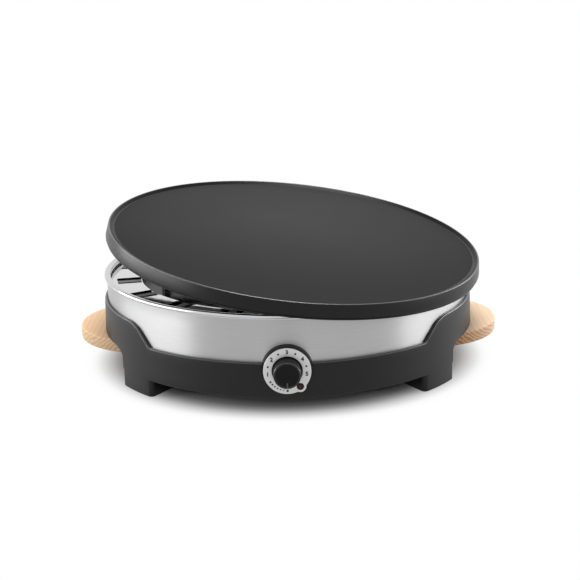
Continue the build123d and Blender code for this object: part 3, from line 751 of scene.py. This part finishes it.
def foot_plan(handle_side):
    """Plan of one foot about +X: outer side on the wall's circle, crisp next to the handle."""
    narrow, deep, crisp, soft = 11.5, 137.8, 2.2, 7
    arc = [polar(WALL_FOOT, t) for t in angles(-7.6, 1.9, 9)]
    first, last = (crisp, soft) if handle_side < 0 else (soft, crisp)
    run = [(x, y, 0) for x, y in arc[(1 if first < soft else 2):(-1 if last < soft else -2)]]
    return round_corners([(deep, narrow, soft), (deep, -narrow, soft), (*arc[0], first)] + run
                         + [(*arc[-1], last)], 6)


for turn, handle_side in ((39.5, -1), (140.5, 1), (219.5, -1), (320.5, 1)):
    slab(shell_bm, foot_plan(handle_side), [(1.0, 1.5), (0.3, 1.8), (0, 2.5), (0, 17.6)], turn)

# %% Pad for the cord, and the whole shell
CORD_HEIGHT = 30.5
grid(shell_bm, [[(x, y, CORD_HEIGHT + z) for x, z in circle(r, 64)]
                for r, y in ((11, 165.6), (11, 174.9), (10.4, 175.5), (7.1, 175.5), (7.1, 165.6))])
shell = settle(make_object("shell_inside", shell_bm, 32), "base", "shell_black", shell_black)
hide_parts("housing")

# %% [markdown]
# ## Handles
#
# Each handle is a beech board, sawn to a segment of a disc and eased along its edges. The
# outline is laid down in layers that draw in at the top and the bottom, as a router bit would
# leave it.

# %% Handles
def board(side):
    centre, radius, inner = 130.5, 67.0, 137.0
    start = degrees(acos((inner - centre) / radius))
    outline = [(centre + radius * cos(t), radius * sin(t))
               for t in angles(-start, 2 * start / 120, 121)]
    top, low, ease = 34.6, 22.7, 1.7
    lower = [(ease * (1 - sin(t)), low + ease * (1 - cos(t))) for t in angles(0, 18, 6)]
    upper = [(inset, top + low - z) for inset, z in reversed(lower)]
    return slab(bmesh.new(), outline, lower + upper, 0 if side > 0 else 180)


for side, name, wood in ((-1, "left_handle", beech_left_painted_shade), (1, "right_handle", beech_right_painted_shade)):
    paddle = settle(make_object("beech_" + name, board(side), 30), "base", "beech", wood)
    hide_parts(name)

# %% [markdown]
# ## Dial
#
# A black bezel carries a silver scale ring, and the knob stands in its well. Ring and bezel
# share one outline, a disc with a small lobe for the lamp. Each is built from rows of that
# outline at growing depth.

# %% Bezel and ring
WELL_RADIUS, SHAFT_HOLE, RING_FRONT = 12.75, 5.1, 176.2


def stack(*layers):
    """A closed ring of layers: distance to the front and radius, with a lobe unless round."""
    bm = bmesh.new()
    grid(bm, [on_front(dial_outline(*size) if len(size) > 1 else circle(*size, DIAL_STEPS), front)
              for front, *size in layers])
    return bm


bezel = make_object("bezel", stack(
    (160, 21.1, 6.2), (175.1, 21.1, 6.2), (175.45, 20.95, 6.05), (175.6, 20.6, 5.7),
    (175.6, 20.2, 5.3), (175.4, 20.0, 5.1), (174.6, 20.0, 5.1), (174.6, WELL_RADIUS),
    (170, WELL_RADIUS), (170, SHAFT_HOLE), (166.5, SHAFT_HOLE), (166.5, WELL_RADIUS),
    (160, WELL_RADIUS)), 40)
lamp_bore = capped(bmesh.new(), [
    [(LAMP_X + x, -d, DIAL_HEIGHT - LAMP_DROP + y) for x, y in circle(3.1, 48)]
    for d in (190, 150)])
carve(bezel, make_object("lamp_bore", lamp_bore.copy()), 40)
settle(bezel, "base", "gloss_black", gloss_black)
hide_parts("dial_bezel")
scale_ring = make_object("scale_ring", stack(
    (174.7, 19.9, 5.0), (175.9, 19.9, 5.0), (176.1, 19.8, 4.9), (RING_FRONT, 19.6, 4.7),
    (RING_FRONT, 12.95), (176.0, WELL_RADIUS), (174.7, WELL_RADIUS)), 40)
carve(scale_ring, make_object("lamp_bore", lamp_bore), 40)
settle(scale_ring, "base", "silver_satin", satin_silver)
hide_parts("dial_ring")

# %% [markdown]
# ### Scale
#
# The scale is printed on the ring: five numbers, a zero dot, and dots for the half steps. A
# print has almost no thickness, so each mark is a flat shape raised by a few hundredths of a
# millimetre. The numbers are text objects turned into meshes.

# %% Numbers
def mesh_of_text(word, height):
    """A number as a flat mesh about its own centre, in mm, with a little thickness."""
    curve = bpy.data.curves.new("text", "FONT")
    curve.body = word
    curve.size = height
    curve.align_x, curve.align_y = "CENTER", "CENTER"
    curve.offset = 0.2
    curve.extrude = 0.03
    made = add_object("text", curve)
    mesh = baked(made)
    bpy.data.objects.remove(made)
    return mesh


def at_clock(angle, radius):
    """Place on the dial, clockwise from the top, as (x, y) about its centre."""
    return radius * sin(radians(angle)), radius * cos(radians(angle))


def facing_front(x, distance, height):
    """Stands up what lies flat, with its top towards the front."""
    return Matrix.Translation((x, -distance, height)) @ Matrix.Rotation(pi / 2, 4, "X")


SCALE_RADIUS, NUMBER_SIZE = 16.4, 4.7
marks_bm = bmesh.new()
for word, angle in (("1", 261), ("2", 308.5), ("3", 0), ("4", 51), ("5", 99)):
    x, y = at_clock(angle, SCALE_RADIUS)
    number = mesh_of_text(word, NUMBER_SIZE)
    number.transform(facing_front(x, RING_FRONT + 0.03, DIAL_HEIGHT + y))
    marks_bm.from_mesh(number)
    bpy.data.meshes.remove(number)
dots = [(angle, SCALE_RADIUS, 0.85) for angle in (25, 75, 284, 334)] + [(180, 17.0, 0.95)]
dots += [(191 + 9.2 * k, 16.8, 0.46 + 0.08 * k) for k in range(6)]
for angle, radius, size in dots:
    x, y = at_clock(angle, radius)
    capped(marks_bm, [[(x + a, -d, DIAL_HEIGHT + y + b) for a, b in circle(size, 24)]
                      for d in (RING_FRONT - 0.05, RING_FRONT + 0.06)])
settle(make_object("scale_marks", marks_bm), "base", "gloss_black", print_black)

# %% [markdown]
# ### Knob and lamp
#
# The knob is a tapered drum with a rounded face and a narrow pointer groove at its foot. It is
# spun standing up, laid over to face the front, and the groove is carved. The groove is
# filled with grey, and the rounded edge is glossier and painted lighter, a painted highlight.
# The lens is a small dome over a neon lamp.

# %% Knob
def turned_to_front(section, steps=96, x=0.0, height=DIAL_HEIGHT):
    """A section of (radius, distance from the centre), spun about a line to the front."""
    bm = spin(section, steps)
    bm.transform(facing_front(x, 0, height))
    return bm


KNOB_FACE, GROOVE_HALF, GROOVE_END = 187.8, 0.65, 5.2
knob_section = round_corners([
    (0, 171.6, 0), (12.1, 171.6, 0.3), (11.3, 188, 1.3), (10.2, 188, 0.5),
    (9.9, KNOB_FACE, 0.5), (0, KNOB_FACE, 0)], 5)
knob = make_object("knob", turned_to_front(knob_section), 40)
groove = slab(bmesh.new(), round_corners([
    (-GROOVE_HALF, -0.8, 0), (GROOVE_HALF, -0.8, 0), (GROOVE_HALF, GROOVE_END, 0.6),
    (-GROOVE_HALF, GROOVE_END, 0.6)]), [(0, -1), (0, 1)])
groove.transform(facing_front(0, KNOB_FACE + 0.5, DIAL_HEIGHT - 11.3))
carve(knob, make_object("groove", groove), 40)
settle(knob, "knob", "gloss_black", knob_black, knob_edge_painted_highlight, pointer_grey)


def knob_finish(centre, normal):
    """2 in the groove, 1 for the painted highlight on the rounded edge and 0 for the rest."""
    if (abs(centre.x) < GROOVE_HALF + 0.01 and centre.z < DIAL_HEIGHT - 5.5
            and 186.5 < -centre.y < KNOB_FACE - 0.05):
        return 2
    return 0.1 < abs(normal.y) < 0.9


share_out(knob, knob_finish)
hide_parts("thermostat_knob")

# %% Lens
dome = [(3.0 * sin(t), RING_FRONT + 0.8 * cos(t)) for t in angles(0, 15, 7)]
lens_bm = turned_to_front(dome + [(3.0, 169), (0, 169)], 48, LAMP_X, DIAL_HEIGHT - LAMP_DROP)
lens = settle(make_object("lens", lens_bm, 40), "base", "lens_red", lens_red)
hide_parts("indicator_lens")

# %% [markdown]
# ## Pan
#
# The pan is pressed from bright sheet. Its floor throws the heat up, and the ring round it
# carries windows through which air rises past the band. The windows have round corners, so
# one tool mesh with all of them is carved out of the spun sheet. Inside the step the sheet
# is stained by the heat and painted near-black besides, a painted shade under the plate.

# %% Pan
WINDOWS, FIRST_WINDOW, STAIN_AND_SHADE_EDGE = 18, 11.6, 137.3
pan_section = round_corners([
    (167, 76.5, 0.2), (167, 81.8, 1.2), (137.5, 81.8, 1.2), (134.5, 71, 1.5), (11, 71, 0.2),
    (11, 70.2, 0.2), (135.1, 70.2, 1.8), (138.1, 81, 0.8), (166.2, 81, 0.5), (166.2, 76.5, 0.2)])
pan = make_object("pan", spin(pan_section, 288), 40)
windows_bm = bmesh.new()
window = round_corners([(136, -10, 0), (160, -10, 1.5), (160, 10, 1.5), (136, 10, 0)])
for k in range(WINDOWS):
    slab(windows_bm, window, [(0, 80.6), (0, 84)], FIRST_WINDOW + 360 / WINDOWS * k)
carve(pan, make_object("windows", windows_bm), 40)
settle(pan, "base", "bright_sheet", pan_steel, stain_and_shade_steel)
# Faces inside the step take the heat stain with its painted shade.
share_out(pan, lambda centre, normal: hypot(centre.x, centre.y) < STAIN_AND_SHADE_EDGE)
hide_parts("reflector_pan")

# %% [markdown]
# ### Heater
#
# A sheathed heater is a steel tube, bent on a machine. The tube is swept along its centre
# line: two rings joined by a hairpin, with a leg down through the pan at each end.

# %% Heater
def tube(points, radius, sides=16):
    """A round tube along points, with both ends closed."""
    rows = []
    ahead = (points[1] - points[0]).normalized()
    across = ahead.orthogonal().normalized()
    for i, point in enumerate(points):
        ahead = (points[min(i + 1, len(points) - 1)] - points[max(i - 1, 0)]).normalized()
        across = (across - ahead * across.dot(ahead)).normalized()
        other = ahead.cross(across)
        rows.append([point + across * a + other * b for a, b in circle(radius, sides)])
    return capped(bmesh.new(), rows)


OUTER_RING, INNER_RING, HEATER_HEIGHT, RING_START, RING_END = 112, 76, 81.4, 100, 400
LEG_BELOW_BEND = 13.4


def ring_point(radius, turn):
    return Vector((*polar(radius, radians(turn)), HEATER_HEIGHT))


def leg(radius, bend=10):
    """Centre line of a leg, from its foot up to the start of a ring."""
    t = radians(RING_START)
    back = Vector((sin(t), -cos(t), 0))
    top = ring_point(radius, RING_START)
    knee = top + back * bend - Vector((0, 0, bend))
    rise = [knee - Vector((0, 0, drop)) for drop in (LEG_BELOW_BEND, 6, 0)]
    return rise + [top + back * bend * cos(t) - Vector((0, 0, bend - bend * sin(t)))
                   for t in angles(15, 15, 5)]


outer_ring = [ring_point(OUTER_RING, RING_START + 2.5 * k) for k in range(121)]
inner_ring = [ring_point(INNER_RING, RING_END - 2.5 * k) for k in range(121)]
middle = ring_point((OUTER_RING + INNER_RING) / 2, RING_END)
radial = Vector((*polar(1, radians(RING_END - 360)), 0))
onward = Vector((-radial.y, radial.x, 0))
hairpin = [middle + (OUTER_RING - INNER_RING) / 2 * (radial * cos(t) + onward * sin(t))
           for t in angles(15, 15, 11)]
centre_line = leg(OUTER_RING) + outer_ring + hairpin + inner_ring + leg(INNER_RING)[::-1]
heater = settle(make_object("heater", tube(centre_line, 3.2)), "base", "heater_sheath", sheath)
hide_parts("heating_element")

# %% Sensor
guide_section = round_corners([
    (6.1, 59, 0.2), (10.7, 59, 0.3), (10.7, 71, 0), (15, 71, 0.2), (15, 72.5, 0.5),
    (6.1, 72.5, 0.3)])
guide = settle(make_object("guide", spin(guide_section, 64)), "base", "zinc_steel", zinc_steel)
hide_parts("sensor_guide")
probe_section = round_corners([
    (0, 85.5, 0), (10, 85.5, 1.1), (10, 82.5, 0.3), (6, 82.5, 0.3), (6, 58.7, 0),
    (8, 58.7, 0.2), (8, 56.7, 0.4), (0, 56.7, 0)])
probe = settle(make_object("probe", spin(probe_section, 64)), "sensor", "bright_sheet",
               probe_steel)
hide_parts("sensor_plunger")

# %% [markdown]
# ### Spring
#
# The spring stands between the guide and the probe's head. It stays on the base and is
# pressed together as the probe sinks, so it keeps its foot and gives up the probe's travel.

# %% Spring of the sensor
SPRING_LOW, SPRING_HIGH, SPRING_RADIUS, SPRING_TURNS, WIRE, TRAVEL = 73.2, 81.8, 8.2, 3.5, 0.6, 3.0


def spring_point(k, steps):
    """A helix whose first and last half turn lie almost flat, as on a ground spring."""
    part = k / steps
    t = 2 * pi * SPRING_TURNS * part
    rise = part - 0.06 * sin(2 * pi * part)
    return Vector((*polar(SPRING_RADIUS, t), SPRING_LOW + (SPRING_HIGH - SPRING_LOW) * rise))


coil = tube([spring_point(k, 112) for k in range(113)], WIRE, 10)
spring = settle(make_object("probe_spring", coil), "base", "zinc_steel", probe_steel)
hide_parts("sensor_spring")
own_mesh(spring)

# %% [markdown]
# ## Cord entry
#
# The supply cord enters at the back through a screwed bush. Its bore is left open, so the
# part can take a cord of its own.

# %% Gland
gland_section = round_corners([
    (3.6, 158, 0.2), (7, 158, 0.4), (7, 175.5, 0), (10.5, 175.5, 0.5), (10.5, 179, 0.8),
    (7.6, 179, 0.3), (6.6, 185, 1.2), (3.6, 185, 0.8)])
gland_bm = spin(gland_section, 96)
gland_bm.transform(Matrix.Translation((0, 0, CORD_HEIGHT)) @ Matrix.Rotation(-pi / 2, 4, "X"))
gland = settle(make_object("cord_bush", gland_bm, 40), "base", "gloss_black", gloss_black)
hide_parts("cord_gland")

# %% [markdown]
# ## What repeats
#
# Screw heads and the bars in the windows repeat at even steps round the centre. A
# Geometry Nodes tree does that: it takes one small mesh, puts a copy at each point of a
# circle, turns it to face outwards, and makes the copies real.

# %% Ring of copies
def ring_tree(material):
    """Tree that repeats a mesh round Z; its inputs are the count and the first angle."""
    tree = bpy.data.node_groups.new("ring_of_copies", "GeometryNodeTree")
    for label, way, kind in (("Geometry", "INPUT", "Geometry"), ("Count", "INPUT", "Int"),
                             ("First angle", "INPUT", "Float"), ("Geometry", "OUTPUT", "Geometry")):
        tree.interface.new_socket(label, in_out=way, socket_type="NodeSocket" + kind)
    inlet = add_node(tree, "NodeGroupInput").outputs
    points = add_node(tree, "GeometryNodeMeshLine", Count=inlet["Count"], Offset=(0, 0, 0))
    part = calc(tree, "DIVIDE", add_node(tree, "GeometryNodeInputIndex"), inlet["Count"])
    turn = calc(tree, "MULTIPLY_ADD", part, 2 * pi, inlet["First angle"])
    copies = add_node(tree, "GeometryNodeInstanceOnPoints", Points=points,
                      Instance=inlet["Geometry"], Rotation=add_node(tree, "CombineXYZ", Z=turn))
    real = add_node(tree, "GeometryNodeRealizeInstances", Geometry=copies)
    finish = add_node(tree, "GeometryNodeSetMaterial", Geometry=real, Material=material)
    add_node(tree, "NodeGroupOutput", Geometry=finish)
    return tree


def repeat_round(name, bm, count, first, finish, slot):
    """Repeats one mesh round Z, on the base, with its first copy at an angle in degrees."""
    piece = make_object(name, bm)
    tree = ring_tree(finish.material)
    modifier = piece.modifiers.new("ring", "NODES")
    modifier.node_group = tree
    sockets = {item.name: item.identifier for item in tree.interface.items_tree
               if item.in_out == "INPUT"}
    modifier[sockets["Count"]] = count
    modifier[sockets["First angle"]] = radians(first)
    mesh = baked(piece)
    piece.modifiers.remove(modifier)
    piece.data = mesh
    if not mesh.materials:
        mesh.materials.append(finish.material)
    print(count, "copies")
    settle(piece, "base", slot)


# %% Screw heads and bars
def screw_head(x, z, radius, rise, down=False):
    """Head of a small screw, on a surface at height z."""
    bm = spin([(0, 0), (radius, 0), (radius, 0.4 * rise), (0.8 * radius, 0.85 * rise),
               (0.5 * radius, rise), (0, rise)], 24)
    if down:
        bm.transform(Matrix.Rotation(pi, 4, "X"))
    bm.transform(Matrix.Translation((x, 0, z)))
    return bm


repeat_round("cover_screws", screw_head(124, 17.2, 3.6, 1.8, True), 6, 30, zinc_steel, "zinc_steel")
bar_plan = [(137.9, -3.5), (160.8, -3.5), (160.8, 3.5), (137.9, 3.5)]
repeat_round("window_bars", slab(bmesh.new(), bar_plan, [(0, 80.4), (0.1, 81.2)]), WINDOWS,
             FIRST_WINDOW, bar_steel, "bright_sheet")
repeat_round("pan_screws", screw_head(155.5, 81.8, 2.6, 1.2), 3, 1.6, zinc_steel, "zinc_steel")

# %% [markdown]
# ## Hidden pieces
#
# The pieces of which little shows keep the frame's own solids: thermostat, posts, cradles,
# stud, block, fuse, nut, lamp, cover and pads. Each still gets a finish, listed by its name.

# %% Finishes for the frame's own solids
dressed = {
    "thermostat_bracket": zinc_steel, "thermostat_body": zinc_steel,
    "thermostat_shaft": zinc_steel, "pan_brackets": zinc_steel, "element_supports": zinc_steel,
    "earth_stud": brass, "terminal_block": ceramic, "thermal_fuse": ceramic,
    "gland_nut": gloss_black, "base_plate": zinc_steel, "foot_pads": rubber,
    "indicator_lamp": lamp_glass}
for name, finish in dressed.items():
    mesh = frame["nodes"][name].data
    mesh.materials.clear()
    mesh.materials.append(finish.material)
print("nodes dressed:", len(dressed))

# %% [markdown]
# ## Studio
#
# The set is a pale floor that runs out of view under a soft, even sky, with two long low
# panels at the sides and one panel above. The panels at the sides draw the upright
# highlights on the band. The camera, mirrors and glass see the sky as pure white, and the
# rest is lit by a dimmer one, so that a colour comes out about as it was written.
# The floor is a dark grey matt next to the appliance, where it takes the shadow and adds a
# painted shade of its own, and fades over a few centimetres into the same white as the sky.

# %% Who sees the white
def seen_as_white(tree):
    """1 for rays from the camera, from gloss and through glass, else 0."""
    path = add_node(tree, "LightPath").outputs
    value = path["Is Camera Ray"]
    for label in ("Is Glossy Ray", "Is Transmission Ray"):
        value = calc(tree, "MAXIMUM", value, path[label])
    return value


# %% Floor
floor_bm = bmesh.new()
bmesh.ops.create_grid(floor_bm, x_segments=1, y_segments=1, size=7000)
floor = make_object("floor", floor_bm)
paper = bpy.data.materials.new("white_paper")
paper.use_nodes = True
tree = paper.node_tree
tree.nodes.clear()
# Painted shade: the matt is a dark grey, so round the appliance the floor is darker than the white
# it fades into, besides the real shadow it takes.
matt = add_node(tree, "BsdfDiffuse", Color=(0.38, 0.38, 0.38, 1))
place = add_node(tree, "TexCoord").outputs["Object"]
# The fade is stretched to the sides, which widens the painted shade there.
oval = add_node(tree, "Mapping", Vector=place, Scale=(0.975, 1, 1))
far = add_node(tree, "VectorMath", {"operation": "LENGTH"}, i0=oval)
painted_shade_fade = ramp(tree, far.outputs["Value"], (0.137, 0.0), (0.149, 0.045), (0.158, 0.18),
            (0.167, 0.48), (0.181, 0.955), (0.19, 1.0))
glow = add_node(tree, "Emission", Color=(1, 1, 1, 1))
glowing = calc(tree, "MULTIPLY", painted_shade_fade, seen_as_white(tree))
both = add_node(tree, "MixShader", Fac=glowing, i1=matt, i2=glow)
add_node(tree, "OutputMaterial", Surface=both)
floor.data.materials.append(paper)

# %% Sky
world = bpy.data.worlds.new("sky")
bpy.context.scene.world = world
world.use_nodes = True
tree = world.node_tree
tree.nodes.clear()
strength = add_node(tree, "MapRange", Value=seen_as_white(tree), To_Min=0.4, To_Max=1.0)
sky = add_node(tree, "Background", Color=(1, 1, 1, 1), Strength=strength)
add_node(tree, "OutputWorld", Surface=sky)


# %% Lamps
def soft_lamp(name, place, width, height, power, aim=(0, 0, 0.05)):
    """A panel of light, turned towards a point."""
    data = bpy.data.lights.new(name, "AREA")
    data.shape = "RECTANGLE"
    data.size, data.size_y = width, height
    data.energy = power
    made = add_object(name, data)
    made.location = place
    made.rotation_euler = (Vector(aim) - Vector(place)).to_track_quat("-Z", "Y").to_euler()
    print(name, "at", place)


soft_lamp("left_panel", (-1.3, -0.08, 0.26), 1.45, 0.42, 14)
soft_lamp("top_panel", (0.1, 0.38, 1.9), 0.8, 0.8, 32)
soft_lamp("right_panel", (1.33, 0.2, 0.33), 1.5, 0.5, 17)
